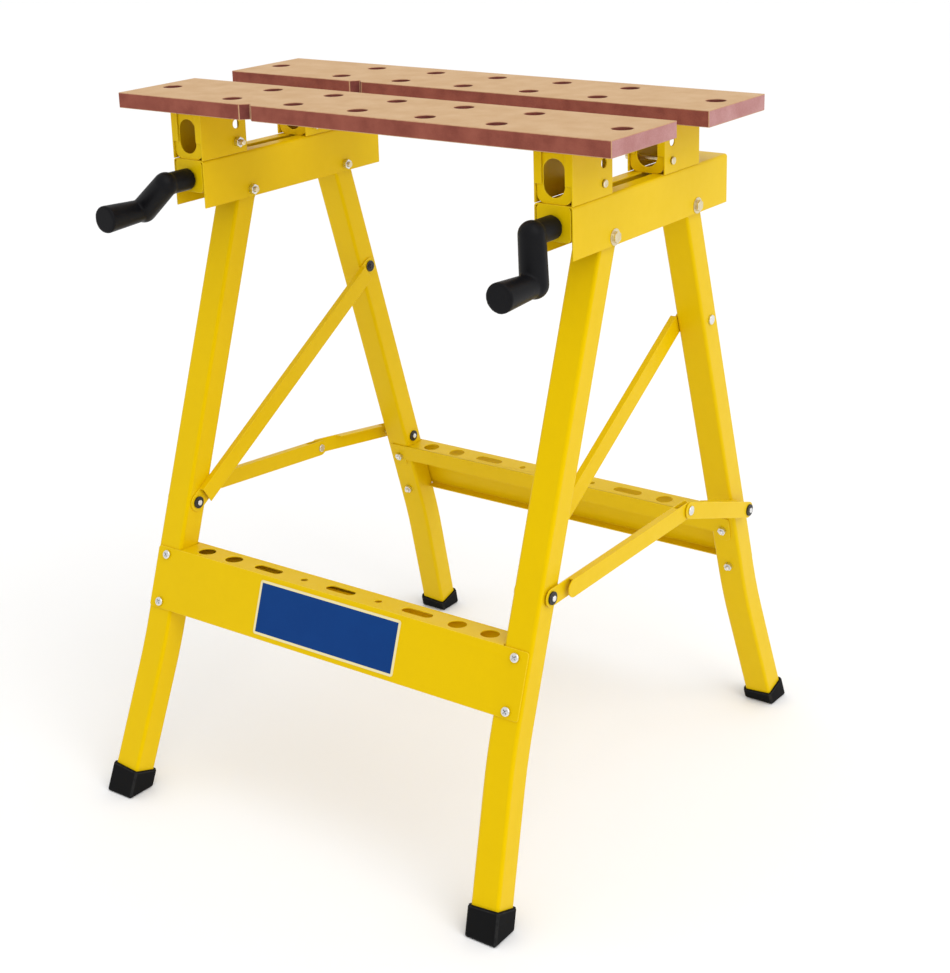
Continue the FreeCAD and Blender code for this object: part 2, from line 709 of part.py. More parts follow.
def tray_fasteners(frame):
    """Round-headed screws through the tray and the leg, with nuts on the inner side."""
    screws, nuts = [], []
    outside = "-(leg_depth / 2 + sheet)"
    place = frame_placement(frame)
    for end in (-1, 1):
        for level, seat in (("upper", "leg_depth / 2 + sheet"), ("lower", "leg_depth / 2")):
            x, z = f"{end} * side_x", f"-tray_screw_{level}"
            screws.append(headed_bolt(f"{frame}_tray_screw", "pin_radius * 1.6",
                                      "pin_radius * 0.8", "2 * sheet",
                                      "leg_depth + 2 * sheet + 2 * pin_radius",
                                      place.multiply(at(x, outside, z, xAxis, -90)),
                                      hexagonal=False))
            nuts.append(bored_nut(f"{frame}_tray_nut", "nut_across * 0.85",
                                  "pin_radius * 0.8", "nut_height * 0.8",
                                  place.multiply(at(x, seat, z, xAxis, -90))))
    group(f"{frame}_tray_screws", screws)
    group(f"{frame}_tray_nuts", nuts)


for frame in frames:
    for side in (-1, 1):
        foot(frame, side)
    tray(frame)
    tray_fasteners(frame)

label = Piece("label_plate")
label.slab("-(leg_depth / 2 + sheet + label_thickness)", "-(leg_depth / 2 + sheet)",
           rounded_rectangle("-label_half", "label_half", "-label_bottom", "-label_top",
                             "2 * sheet"))
label.finish(frame_placement("front"))


def leg_pivots():
    """The bolts that the legs swing on, with nuts inside and spacers beside the legs."""
    bolts, nuts, spacers = [], [], []
    gap = "(channel_width - 2 * sheet - leg_width) / 2 - 2 * pin_clearance"
    for side in (-1, 1):
        for end in (-1, 1):
            y = f"{end} * pivot_half"
            outer = f"{side} * (side_x + channel_width / 2)"
            inner = f"{side} * (side_x - channel_width / 2)"
            turn = -90 * side
            bolts.append(headed_bolt("pivot_bolt", "nut_across", "pin_radius", "nut_height * 0.8",
                                     "channel_width + 1.6 * nut_height",
                                     at(outer, y, "pivot_height", yAxis, turn)))
            nuts.append(bored_nut("pivot_nut", "nut_across", "pin_radius", "nut_height",
                                  at(inner, y, "pivot_height", yAxis, turn)))
            for start in ("channel_width / 2 - sheet - pin_clearance",
                          "-leg_width / 2 - pin_clearance"):
                spacers.append(ring("pivot_spacer", "push_nut_radius", "pin_radius", gap,
                                    at(f"{side} * (side_x + {start})", y, "pivot_height",
                                       yAxis, turn)))
    group("leg_pivot_bolts", bolts)
    group("leg_pivot_nuts", nuts)
    group("leg_pivot_spacers", spacers)


leg_pivots()

# ---- braces and folding struts ---------------------------------------------------------------


def station(frame, distance):
    """The point on a leg's centre line at a distance from its pivot, in the YZ plane."""
    point = frame_placement(frame).multVec(Vector(0, 0, -number(distance)))
    return Vector(0, point.y, point.z)


def raised_joint(start, end, first, second):
    """Where two links of the given lengths meet above the line from start to end."""
    first, second = number(first), number(second)
    span = (end - start).Length
    along = (first ** 2 - second ** 2 + span ** 2) / (2 * span)
    height = (first ** 2 - along ** 2) ** 0.5
    line = (end - start).normalize()
    return start + line * along + xAxis.cross(line) * height


def link_placement(side, start, end):
    """Local X runs from start to end and local Z lies on the upper side."""
    line = (end - start).normalize()
    across = line.cross(xAxis) * -1
    turned = Rotation(line, across.cross(line), across, "ZXY")
    return Placement(start + xAxis * side * number("side_x"), turned)


def outward(side, near, far):
    """Two distances from the leg's centre plane as places along a link's local Y."""
    if side > 0:
        return f"-({far})", f"-({near})"
    return near, far


def brace(side):
    """The diagonal from the front leg's lower pivot to the rear leg's upper one."""
    foot_point, head_point = station("front", "lower_pivot"), station("rear", "upper_pivot")
    length = f"{(head_point - foot_point).Length:.4f}"
    half, near = "brace_flange / 2", "leg_width / 2 + 2 * pin_clearance"
    piece = Piece("brace_" + side_name(side))
    piece.slab(*outward(side, f"-({near} + sheet)", f"-({near})"),
               slot(f"{length} / 2", "0", f"{length} / 2", half))
    clear = "brace_flange * 0.55"
    piece.slab(*outward(side, f"-({near} + brace_web)", f"-({near})"),
               rectangle(clear, f"{length} - {clear}", f"{half} - sheet", half))
    piece.slab(*outward(side, f"-({near} + brace_web)", f"-({near} + brace_web - sheet)"),
               rectangle(clear, f"{length} - {clear}", f"-{half}", half))
    piece.cut("XZ", "2 * leg_width", "through",
              circle("0", "0", "pin_radius + pin_clearance"),
              circle(length, "0", "pin_radius"))
    piece.finish(link_placement(side, foot_point, head_point))
    stud = Placement(head_point + xAxis * side * number(f"side_x - ({near})"),
                     Rotation(yAxis, -90 * side))
    shank = rod("brace_shank", "pin_radius", "2.5 * sheet + push_nut_height", stud)
    cap = rod("brace_cap", "push_nut_radius", "push_nut_height",
              stud.multiply(at(z="sheet")))
    head = fused("brace_stud", shank, cap)
    doc.recompute()
    node(head, "brace_stud_" + side_name(side))


def struts(side):
    """A long link from the front leg and a short one from the rear leg, riveted between."""
    first, last = station("front", "lower_pivot"), station("rear", "strut_pivot")
    long, short = f"long_link_{side_name(side)}", f"short_link_{side_name(side)}"
    joint = raised_joint(first, last, long, short)
    half, leg_face = "link_flange / 2", "leg_width / 2"
    near = f"{leg_face} + long_offset"
    piece = Piece("strut_long_" + side_name(side))
    piece.slab(*outward(side, near, f"{near} + sheet"),
               slot(f"{long} / 2", "0", f"{long} / 2", half))
    piece.slab(*outward(side, near, f"{near} + link_web"),
               rectangle("1.6 * link_flange", f"{long} - 1.2 * link_flange",
                         f"{half} - sheet", half))
    piece.slab(*outward(side, f"{near} + link_web - sheet", f"{near} + link_web"),
               slot(f"({long} + 1.6 * link_flange) / 2", "0",
                    f"({long} - 1.6 * link_flange) / 2", half))
    piece.cut("XZ", "2 * leg_width", "through",
              circle("0", "0", "pin_radius + pin_clearance"),
              circle(long, "0", "pin_radius"))
    long_place = link_placement(side, first, joint)
    piece.finish(long_place)
    far = f"{leg_face} + short_offset"
    piece = Piece("strut_short_" + side_name(side))
    piece.slab(*outward(side, far, f"{far} + sheet"),
               slot(f"{short} / 2", "0", f"{short} / 2", half))
    piece.slab(*outward(side, f"{far} - link_web", f"{far} + sheet"),
               rectangle("2 * link_flange", f"{short} - link_flange", f"{half} - sheet", half))
    piece.cut("XZ", "2 * leg_width", "through",
              circle("0", "0", "pin_radius"),
              circle(short, "0", "pin_radius + pin_clearance"))
    short_place = link_placement(side, joint, last)
    piece.finish(short_place)
    inside = joint + xAxis * side * number(f"side_x + {near}")
    outside = joint + xAxis * side * number(f"side_x + {far} + sheet")
    inner = headed_bolt("rivet", "pin_radius * 1.5", "pin_radius", "sheet", "link_web",
                        Placement(inside, Rotation(yAxis, 90 * side)), hexagonal=False)
    outer = headed_bolt("rivet", "pin_radius * 1.7", "pin_radius", "sheet", "sheet",
                        Placement(outside, Rotation(yAxis, -90 * side)), hexagonal=False)
    doc.recompute()
    node(inner, "inner_rivet_" + side_name(side))
    node(outer, "outer_rivet_" + side_name(side))


for side in (-1, 1):
    brace(side)
    struts(side)


def cross_pin(name, side, point, near, far):
    """A plain pin across a leg between two distances from the leg's centre plane."""
    start = point + xAxis * side * number(f"side_x + {near}")
    return rod(name, "pin_radius", f"({far}) - ({near})",
               Placement(start, Rotation(yAxis, 90 * side)))


def push_nut(name, side, point, near):
    start = point + xAxis * side * number(f"side_x + {near}")
    return ring(name, "push_nut_radius", "pin_radius", "push_nut_height",
                Placement(start, Rotation(yAxis, 90 * side)))


def linkage_pins():
    """Pins with push nuts at the braces' and struts' pivots on the legs."""
    face, play = "leg_width / 2", "2 * pin_clearance"
    brace_nut = f"-({face} + {play} + sheet + pin_clearance + push_nut_height)"
    strut_nut = f"{face} + long_offset + sheet + pin_clearance"
    last_nut = f"{face} + short_offset + sheet + pin_clearance"
    lower, front_nuts, rear_pins, rear_nuts = [], [], [], []
    for side in (-1, 1):
        low = station("front", "lower_pivot")
        lower.append(cross_pin("lower_pin", side, low, f"{brace_nut} - sheet",
                               f"{strut_nut} + push_nut_height + sheet"))
        front_nuts.append(push_nut("push_nut", side, low, brace_nut))
        front_nuts.append(push_nut("push_nut", side, low, strut_nut))
        high = station("rear", "upper_pivot")
        head = high + xAxis * side * number(f"side_x + {face}")
        rear_pins.append(headed_bolt("upper_pin", "pin_radius * 1.7", "pin_radius", "1.6 * sheet",
                                     "leg_width",
                                     Placement(head, Rotation(yAxis, -90 * side)),
                                     hexagonal=False))
        mid = station("rear", "strut_pivot")
        inner_nut = f"-({face} + push_nut_height)"
        pin = cross_pin("strut_pin", side, mid, f"{inner_nut} - sheet",
                        f"{last_nut} + push_nut_height + sheet")
        shoulder_start = mid + xAxis * side * number(f"side_x + {face}")
        shoulder = rod("strut_shoulder", "1.6 * pin_radius", "short_offset - pin_clearance",
                       Placement(shoulder_start, Rotation(yAxis, 90 * side)))
        rear_pins.append(fused("strut_pin_shape", pin, shoulder))
        rear_nuts.append(push_nut("push_nut", side, mid, inner_nut))
        rear_nuts.append(push_nut("push_nut", side, mid, last_nut))
    group("lower_pins", lower)
    group("front_push_nuts", front_nuts)
    group("rear_pins", rear_pins)
    group("rear_push_nuts", rear_nuts)


linkage_pins()

# ---- checks and files ------------------------------------------------------------------------

doc.recompute()
for item in doc.Objects:
    if "Invalid" in item.State or "Error" in item.State:
        raise RuntimeError(f"{item.Label} did not recompute: {item.State}")
os.makedirs("parts", exist_ok=True)
for item in nodes:
    shape = item.Shape
    if shape.isNull() or not shape.isValid() or not shape.Solids:
        raise RuntimeError(f"{item.Label} has no valid solid")
    shape.exportStep(f"parts/{item.Label}.step")
whole = Part.makeCompound([item.Shape for item in nodes]).BoundBox
print(len(nodes), "nodes, size", round(whole.XLength, 1), round(whole.YLength, 1),
      round(whole.ZLength, 1), "centre", round(whole.Center.x, 2), round(whole.Center.y, 2),
      "floor", round(whole.ZMin, 3))
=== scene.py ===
import json
import math
import bpy
from mathutils import Matrix, Vector


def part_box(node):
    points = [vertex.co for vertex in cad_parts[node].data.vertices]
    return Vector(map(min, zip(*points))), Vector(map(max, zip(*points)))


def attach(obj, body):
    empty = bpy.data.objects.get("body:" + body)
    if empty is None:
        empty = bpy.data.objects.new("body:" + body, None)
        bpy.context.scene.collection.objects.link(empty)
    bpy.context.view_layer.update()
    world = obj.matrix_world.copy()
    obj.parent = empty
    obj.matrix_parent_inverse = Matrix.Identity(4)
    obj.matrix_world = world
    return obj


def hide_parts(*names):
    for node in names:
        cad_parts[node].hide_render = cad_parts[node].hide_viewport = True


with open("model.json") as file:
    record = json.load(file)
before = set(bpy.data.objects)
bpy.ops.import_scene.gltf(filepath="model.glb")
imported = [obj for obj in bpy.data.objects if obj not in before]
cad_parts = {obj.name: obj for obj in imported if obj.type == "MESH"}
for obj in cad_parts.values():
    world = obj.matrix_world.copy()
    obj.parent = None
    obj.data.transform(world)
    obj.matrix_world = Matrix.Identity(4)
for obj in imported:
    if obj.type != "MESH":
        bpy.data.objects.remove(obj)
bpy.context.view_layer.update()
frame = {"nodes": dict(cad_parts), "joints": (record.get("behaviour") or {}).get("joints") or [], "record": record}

nodes = frame["nodes"]
mm = 0.001
bodyOfNode = {}
for bodyName, members in frame["record"]["behaviour"]["bodies"].items():
    for member in members:
        bodyOfNode[member] = bodyName
slotOfNode = {part["node"]: part["material_slot"] for part in frame["record"]["subparts"]}


def deselectAll():
    if bpy.context.object and bpy.context.object.mode != "OBJECT":
        bpy.ops.object.mode_set(mode="OBJECT")
    bpy.ops.object.select_all(action="DESELECT")


def makeActive(piece):
    deselectAll()
    piece.select_set(True)
    bpy.context.view_layer.objects.active = piece


# camera, floor and light

camera = {
    # metres, degrees and millimetres; the rise is a share of the sensor's width
    "place": (1.11305, -1.47192, 1.02256),
    "turn": (72.838, 1.508, 35.753),
    "lens": 68.579,
    "rise": -0.1332,
    "sensor": 36,
    "reach": 80,
}

studio = {
    "worldColour": (1.0, 1.0, 1.0, 1), "worldStrength": 0.86, "backdropStrength": 1.02,
    "floorSize": 60, "floorColour": (0.94, 0.94, 0.94, 1), "floorRoughness": 0.9,
    "floorDrop": 0.6,  # millimetres under the feet
    "lamps": (
        # name, place, aimed at, size in metres, watts
        ("rightSoftbox", (2.9, -0.7, 1.8), (0.0, 0.0, 0.45), 1.5, 8),
        ("topSoftbox", (0.5, 0.2, 3.4), (0.0, 0.0, 0.60), 2.4, 8),
    ),
    "sunFrom": (0.62, -0.22, 0.75), "sunStrength": 0.9, "sunAngle": 50,
}


def makeCamera():
    data = bpy.data.cameras.new("benchCamera")
    data.sensor_width = camera["sensor"]
    data.sensor_fit = "HORIZONTAL"
    data.lens = camera["lens"]
    data.shift_y = camera["rise"]
    data.clip_end = camera["reach"]
    view = bpy.data.objects.new("benchCamera", data)
    view.location = camera["place"]
    view.rotation_euler = [math.radians(angle) for angle in camera["turn"]]
    bpy.context.scene.collection.objects.link(view)
    bpy.context.scene.camera = view
    bpy.context.scene.view_settings.view_transform = "Standard"


def makeWorld():
    world = bpy.data.worlds.new("paleStudio")
    world.use_nodes = True
    tree = world.node_tree
    background = tree.nodes["Background"]
    background.inputs["Color"].default_value = studio["worldColour"]
    # the backdrop is seen a little brighter than it lights the bench
    lightPath = tree.nodes.new("ShaderNodeLightPath")
    strength = tree.nodes.new("ShaderNodeMapRange")
    strength.inputs["To Min"].default_value = studio["worldStrength"]
    strength.inputs["To Max"].default_value = studio["backdropStrength"]
    tree.links.new(lightPath.outputs["Is Camera Ray"], strength.inputs["Value"])
    tree.links.new(strength.outputs["Result"], background.inputs["Strength"])
    bpy.context.scene.world = world


def makeLamps():
    for name, place, aim, size, watts in studio["lamps"]:
        data = bpy.data.lights.new(name, "AREA")
        data.size = size
        data.energy = watts
        lamp = bpy.data.objects.new(name, data)
        lamp.location = place
        toward = Vector(aim) - Vector(place)
        lamp.rotation_euler = toward.to_track_quat("-Z", "Y").to_euler()
        bpy.context.scene.collection.objects.link(lamp)
    data = bpy.data.lights.new("evenSun", "SUN")
    data.energy = studio["sunStrength"]
    data.angle = math.radians(studio["sunAngle"])
    sun = bpy.data.objects.new("evenSun", data)
    sun.rotation_euler = Vector(studio["sunFrom"]).to_track_quat("Z", "Y").to_euler()
    bpy.context.scene.collection.objects.link(sun)


def makeFloor():
    level = -studio["floorDrop"] * mm
    bpy.ops.mesh.primitive_plane_add(size=studio["floorSize"], location=(0, 0, level))
    floor = bpy.context.object
    floor.name = "paleFloor"
    material = bpy.data.materials.new("paleFloor")
    material.use_nodes = True
    shader = material.node_tree.nodes["Principled BSDF"]
    shader.inputs["Base Color"].default_value = studio["floorColour"]
    shader.inputs["Roughness"].default_value = studio["floorRoughness"]
    floor.data.materials.append(material)


makeCamera()
makeWorld()
makeLamps()
makeFloor()
print("camera, floor and lamps set")


# shader groups

mottling = {"broadShare": 0.65, "low": 0.36, "high": 0.64}
# noise that breaks up the painted edge highlight and edge wear
rimHighlightAndWear = {"scale": 240.0, "low": 0.35, "high": 0.6, "least": 0.35}


def newGroup(name, inputs, outputs):
    group = bpy.data.node_groups.new(name, "ShaderNodeTree")
    for label, kind, value in inputs:
        socket = group.interface.new_socket(name=label, in_out="INPUT", socket_type=kind)
        socket.default_value = value
    for label, kind in outputs:
        group.interface.new_socket(name=label, in_out="OUTPUT", socket_type=kind)
    source = group.nodes.new("NodeGroupInput").outputs
    result = group.nodes.new("NodeGroupOutput").inputs
    return group, source, result


def noiseNode(tree, scale, detail, roughness=0.5):
    place = tree.nodes.new("ShaderNodeTexCoord")
    noise = tree.nodes.new("ShaderNodeTexNoise")
    noise.inputs["Detail"].default_value = detail
    noise.inputs["Roughness"].default_value = roughness
    tree.links.new(place.outputs["Object"], noise.inputs["Vector"])
    connect(tree, scale, noise.inputs["Scale"])
    return noise.outputs["Fac"]


def connect(tree, value, socket):
    if isinstance(value, bpy.types.NodeSocket):
        tree.links.new(value, socket)
    else:
        socket.default_value = value


def mathNode(tree, operation, first, second=0.0):
    made = tree.nodes.new("ShaderNodeMath")
    made.operation = operation
    connect(tree, first, made.inputs[0])
    connect(tree, second, made.inputs[1])
    return made.outputs[0]


def rangeNode(tree, value, fromLow, fromHigh, toLow, toHigh):
    made = tree.nodes.new("ShaderNodeMapRange")
    connect(tree, value, made.inputs["Value"])
    connect(tree, fromLow, made.inputs["From Min"])
    connect(tree, fromHigh, made.inputs["From Max"])
    connect(tree, toLow, made.inputs["To Min"])
    connect(tree, toHigh, made.inputs["To Max"])
    return made.outputs["Result"]


def mixColour(tree, share, first, second):
    made = tree.nodes.new("ShaderNodeMix")
    made.data_type = "RGBA"
    connect(tree, share, made.inputs["Factor"])
    connect(tree, first, made.inputs[6])
    connect(tree, second, made.inputs[7])
    return made.outputs[2]


def makeMottleGroup():
    group, source, result = newGroup(
        "mottle",
        (("Colour", "NodeSocketColor", (0.8, 0.8, 0.8, 1)),
         ("Patch Colour", "NodeSocketColor", (0.6, 0.6, 0.6, 1)),
         ("Patch Scale", "NodeSocketFloat", 9.0),
         ("Fine Scale", "NodeSocketFloat", 160.0),
         ("Amount", "NodeSocketFloat", 0.5)),
        (("Colour", "NodeSocketColor"), ("Mask", "NodeSocketFloat")))
    broad = noiseNode(group, source["Patch Scale"], 3.0)
    fine = noiseNode(group, source["Fine Scale"], 2.0)
    broadShare = mottling["broadShare"]
    both = mathNode(group, "ADD", mathNode(group, "MULTIPLY", broad, broadShare),
                    mathNode(group, "MULTIPLY", fine, 1 - broadShare))
    mask = rangeNode(group, both, mottling["low"], mottling["high"], 0.0, 1.0)
    share = mathNode(group, "MULTIPLY", mask, source["Amount"])
    group.links.new(mixColour(group, share, source["Colour"], source["Patch Colour"]),
                    result["Colour"])
    group.links.new(mask, result["Mask"])
    return group


def makeSkinGroup():
    # a fine surface texture: orange peel, moulding grain or brushed lines
    group, source, result = newGroup(
        "skin",
        (("Scale", "NodeSocketFloat", 500.0), ("Strength", "NodeSocketFloat", 0.1),
         ("Depth", "NodeSocketFloat", 0.0002)),
        (("Normal", "NodeSocketVector"),))
    grain = noiseNode(group, source["Scale"], 3.0, 0.6)
    bump = group.nodes.new("ShaderNodeBump")
    group.links.new(source["Strength"], bump.inputs["Strength"])
    group.links.new(source["Depth"], bump.inputs["Distance"])
    group.links.new(grain, bump.inputs["Height"])
    group.links.new(bump.outputs["Normal"], result["Normal"])
    return group


def makeRimHighlightAndWearGroup():
    # painted highlight: lighter along bevelled edges, partly also edge wear, broken up by a fine noise
    group, source, result = newGroup(
        "rim",
        (("Colour", "NodeSocketColor", (0.8, 0.8, 0.8, 1)),
         ("Rim Colour", "NodeSocketColor", (0.9, 0.9, 0.9, 1)),
         ("Amount", "NodeSocketFloat", 0.5)),
        (("Colour", "NodeSocketColor"),))
    rim = group.nodes.new("ShaderNodeAttribute")
    rim.attribute_name = "rim"
    broken = rangeNode(group, noiseNode(group, rimHighlightAndWear["scale"], 3.0, 0.7),
                       rimHighlightAndWear["low"], rimHighlightAndWear["high"], rimHighlightAndWear["least"], 1.0)
    mask = mathNode(group, "MULTIPLY", rim.outputs["Fac"], broken)
    share = mathNode(group, "MULTIPLY", mask, source["Amount"])
    group.links.new(mixColour(group, share, source["Colour"], source["Rim Colour"]),
                    result["Colour"])
    return group


mottleGroup = makeMottleGroup()
skinGroup = makeSkinGroup()
rimHighlightAndWearGroup = makeRimHighlightAndWearGroup()

coatRoughness = 0.18
finishes = {
    # colours are linear; rim is the painted edge highlight, partly edge wear; rough is its range, skin its scale,
    # strength and depth in millimetres
    "powderCoat": dict(colour=(0.755, 0.505, 0.0005), patch=(0.70, 0.460, 0.0005),
                       patchScale=7, fineScale=90, amount=0.45, rim=(0.84, 0.63, 0.05),
                       rimAmount=0.5, rough=(0.36, 0.46), skin=(420, 0.12, 0.25),
                       coat=0.0, shine=0.32, tint=(1.0, 0.70, 0.03)),
    "boardTop": dict(colour=(0.585, 0.375, 0.190), patch=(0.51, 0.31, 0.15), patchScale=38,
                     fineScale=900, amount=0.75, rim=(0.40, 0.17, 0.10), rimAmount=0.6,
                     rough=(0.55, 0.70), skin=(1500, 0.22, 0.12), coat=0.0, shine=0.3),
    "boardEdge": dict(colour=(0.30, 0.078, 0.048), patch=(0.20, 0.046, 0.030), patchScale=60,
                      fineScale=1100, amount=0.9, rim=(0.42, 0.19, 0.14), rimAmount=0.6,
                      rough=(0.66, 0.86), skin=(1300, 0.5, 0.25), coat=0.0, shine=0.3),
    "boardEnd": dict(colour=(0.47, 0.225, 0.215), patch=(0.36, 0.140, 0.13), patchScale=34,
                     fineScale=1000, amount=0.85, rim=(0.42, 0.20, 0.16), rimAmount=0.5,
                     rough=(0.5, 0.72), skin=(1300, 0.4, 0.2), coat=0.05),
    # bore walls: the sawn edge colour painted darker, as painted shade inside the bores
    "boardBoreShade": dict(colour=(0.20, 0.040, 0.026), patch=(0.12, 0.022, 0.016), patchScale=90,
                      fineScale=1200, amount=0.9, rim=(0.25, 0.08, 0.05), rimAmount=0.4,
                      rough=(0.75, 0.9), skin=(1200, 0.5, 0.25), coat=0.0),
    "crankPlastic": dict(colour=(0.004, 0.004, 0.005), patch=(0.008, 0.008, 0.009),
                         patchScale=22, fineScale=500, amount=0.7, rim=(0.03, 0.03, 0.032),
                         rimAmount=0.5, rough=(0.36, 0.50), skin=(1400, 0.16, 0.15),
                         coat=0.0, shine=0.10),
    "footRubber": dict(colour=(0.004, 0.004, 0.0045), patch=(0.009, 0.009, 0.009),
                       patchScale=40, fineScale=700, amount=0.6, rim=(0.05, 0.05, 0.05),
                       rimAmount=0.35, rough=(0.55, 0.74), skin=(1100, 0.3, 0.25),
                       coat=0.0, shine=0.07),
    "blackenedSteel": dict(colour=(0.035, 0.035, 0.038), patch=(0.06, 0.055, 0.05),
                           patchScale=120, fineScale=800, amount=0.7, rim=(0.2, 0.2, 0.2),
                           rimAmount=0.6, rough=(0.38, 0.55), skin=(1500, 0.1, 0.1),
                           coat=0.0, metal=0.8),
    "yellowZinc": dict(colour=(0.78, 0.70, 0.46), patch=(0.62, 0.50, 0.34), patchScale=170,
                       fineScale=900, amount=0.8, rim=(0.86, 0.83, 0.74), rimAmount=0.6,
                       rough=(0.24, 0.40), skin=(1600, 0.12, 0.1), coat=0.0, metal=1.0),
    "brightZinc": dict(colour=(0.80, 0.80, 0.79), patch=(0.58, 0.58, 0.59), patchScale=200,
                       fineScale=1000, amount=0.7, rim=(0.9, 0.9, 0.9), rimAmount=0.5,
                       rough=(0.22, 0.36), skin=(1600, 0.12, 0.1), coat=0.0, metal=1.0),
    "turnedSteel": dict(colour=(0.50, 0.49, 0.47), patch=(0.34, 0.33, 0.31), patchScale=110,
                        fineScale=900, amount=0.8, rim=(0.66, 0.65, 0.63), rimAmount=0.5,
                        rough=(0.30, 0.46), skin=(1700, 0.15, 0.1), coat=0.0, metal=1.0),
    "labelBlue": dict(colour=(0.001, 0.041, 0.195), patch=(0.0008, 0.034, 0.170),
                      patchScale=30, fineScale=800, amount=0.6, rim=(0.01, 0.10, 0.32),
                      rimAmount=0.3, rough=(0.44, 0.54), skin=(900, 0.1, 0.1), coat=0.0,
                      shine=0.1),
    "labelBorder": dict(colour=(0.80, 0.70, 0.34), patch=(0.74, 0.66, 0.38), patchScale=50,
                        fineScale=700, amount=0.6, rim=(0.85, 0.80, 0.60), rimAmount=0.4,
                        rough=(0.28, 0.38), skin=(900, 0.06, 0.1), coat=0.2),
}


def makeFinish(name, colour, patch, patchScale, fineScale, amount, rim, rimAmount,
               rough, skin, coat, metal=0.0, shine=0.5, tint=(1.0, 1.0, 1.0)):
    material = bpy.data.materials.new(name)
    material.use_nodes = True
    tree = material.node_tree
    shader = tree.nodes["Principled BSDF"]
    placed = {}
    for label, group in (("mottle", mottleGroup), ("skin", skinGroup), ("rim", rimHighlightAndWearGroup)):
        placed[label] = tree.nodes.new("ShaderNodeGroup")
        placed[label].node_tree = group
    mottle, texture, rimLitAndWorn = placed["mottle"], placed["skin"], placed["rim"]
    mottle.inputs["Colour"].default_value = (*colour, 1)
    mottle.inputs["Patch Colour"].default_value = (*patch, 1)
    mottle.inputs["Patch Scale"].default_value = patchScale
    mottle.inputs["Fine Scale"].default_value = fineScale
    mottle.inputs["Amount"].default_value = amount
    texture.inputs["Scale"].default_value = skin[0]
    texture.inputs["Strength"].default_value = skin[1]
    texture.inputs["Depth"].default_value = skin[2] * mm
    # the rim colour is a painted highlight along bevelled edges, partly also edge wear
    rimLitAndWorn.inputs["Rim Colour"].default_value = (*rim, 1)
    rimLitAndWorn.inputs["Amount"].default_value = rimAmount
    tree.links.new(mottle.outputs["Colour"], rimLitAndWorn.inputs["Colour"])
    tree.links.new(rimLitAndWorn.outputs["Colour"], shader.inputs["Base Color"])
    tree.links.new(rangeNode(tree, mottle.outputs["Mask"], 0.0, 1.0, *rough),
                   shader.inputs["Roughness"])
    tree.links.new(texture.outputs["Normal"], shader.inputs["Normal"])
    shader.inputs["Metallic"].default_value = metal
    shader.inputs["Specular IOR Level"].default_value = shine
    shader.inputs["Specular Tint"].default_value = (*tint, 1)
    shader.inputs["Coat Weight"].default_value = coat
    shader.inputs["Coat Roughness"].default_value = coatRoughness
    return material


materials = {name: makeFinish(name, **values) for name, values in finishes.items()}
finishOfSlot = {
    "board": "boardTop", "foot_plastic": "footRubber", "crank_black": "crankPlastic",
    "label_blue": "labelBlue", "black_steel": "blackenedSteel", "zinc_yellow": "yellowZinc",
    "zinc": "brightZinc", "steel": "turnedSteel", "yellow_paint": "powderCoat",
}
print("materials made")


# copies of CAD nodes with softened edges

softening = {
    # part of a node's name: bevel width in millimetres, segments, least edge angle
    "board": (0.7, 3, 32), "channel": (0.4, 2, 50), "saddle": (0.45, 2, 50),
    "cradle": (0.45, 2, 50),
    "leg_left": (0.35, 2, 55), "leg_right": (0.35, 2, 55),
    "foot": (2.2, 4, 20), "tray_screws": (1.3, 4, 50), "tray_nuts": (0.35, 2, 50),
    "tray": (0.45, 2, 40), "brace": (0.4, 2, 50), "strut": (0.4, 2, 50),
    "cross_bolts": (0.9, 3, 50), "bolts": (0.45, 2, 50), "nuts": (0.4, 2, 50),
    "rivet": (0.7, 3, 50), "pins": (0.5, 2, 50), "nut_": (0.5, 2, 50),
}
weldDistance = 0.01  # millimetres
flatAngle = 0.5  # degrees, as is the next
smoothingAngle = 35
finished = set()


def copyOfNode(node, name):
    piece = bpy.data.objects.new(name, nodes[node].data.copy())
    bpy.context.scene.collection.objects.link(piece)
    piece.data.materials.clear()
    makeActive(piece)
    bpy.ops.object.mode_set(mode="EDIT")
    bpy.ops.mesh.select_all(action="SELECT")
    bpy.ops.mesh.remove_doubles(threshold=weldDistance * mm)
    bpy.ops.mesh.dissolve_limited(angle_limit=math.radians(flatAngle))
    bpy.ops.mesh.select_all(action="DESELECT")
    bpy.ops.object.mode_set(mode="OBJECT")
    return piece


def useFinish(piece, *names):
    piece.data.materials.clear()
    for name in names:
        piece.data.materials.append(materials[name])


def bevelEdges(piece, width, segments, angle):
    finish = piece.data.materials[0]
    count = len(piece.data.materials)
    piece.data.materials.append(finish)
    bevel = piece.modifiers.new("softEdges", "BEVEL")
    bevel.width = width * mm
    bevel.segments = segments
    bevel.limit_method = "ANGLE"
    bevel.angle_limit = math.radians(angle)
    bevel.use_clamp_overlap = False
    bevel.miter_outer = "MITER_ARC"
    bevel.material = count
    makeActive(piece)
    bpy.ops.object.modifier_apply(modifier=bevel.name)
    markRim(piece, count)


def markRim(piece, index):
    # the bevel's own faces carry the rim mask, where the painted edge highlight goes, and then take the first
    # finish
    rim = piece.data.attributes.new("rim", "FLOAT", "FACE")
    for face in piece.data.polygons:
        if face.material_index == index:
            rim.data[face.index].value = 1.0
            face.material_index = 0
    piece.data.materials.pop(index=index)


def smooth(piece):
    # round faces run together, flat ones keep their own normal
    makeActive(piece)
    bpy.ops.object.shade_smooth_by_angle(angle=math.radians(smoothingAngle))
    flatten = piece.modifiers.new("flatFaces", "WEIGHTED_NORMAL")
    flatten.keep_sharp = True
    bpy.ops.object.modifier_apply(modifier=flatten.name)


def handOver(piece, node):
    finished.add(node)
    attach(piece, bodyOfNode[node])
    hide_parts(node)


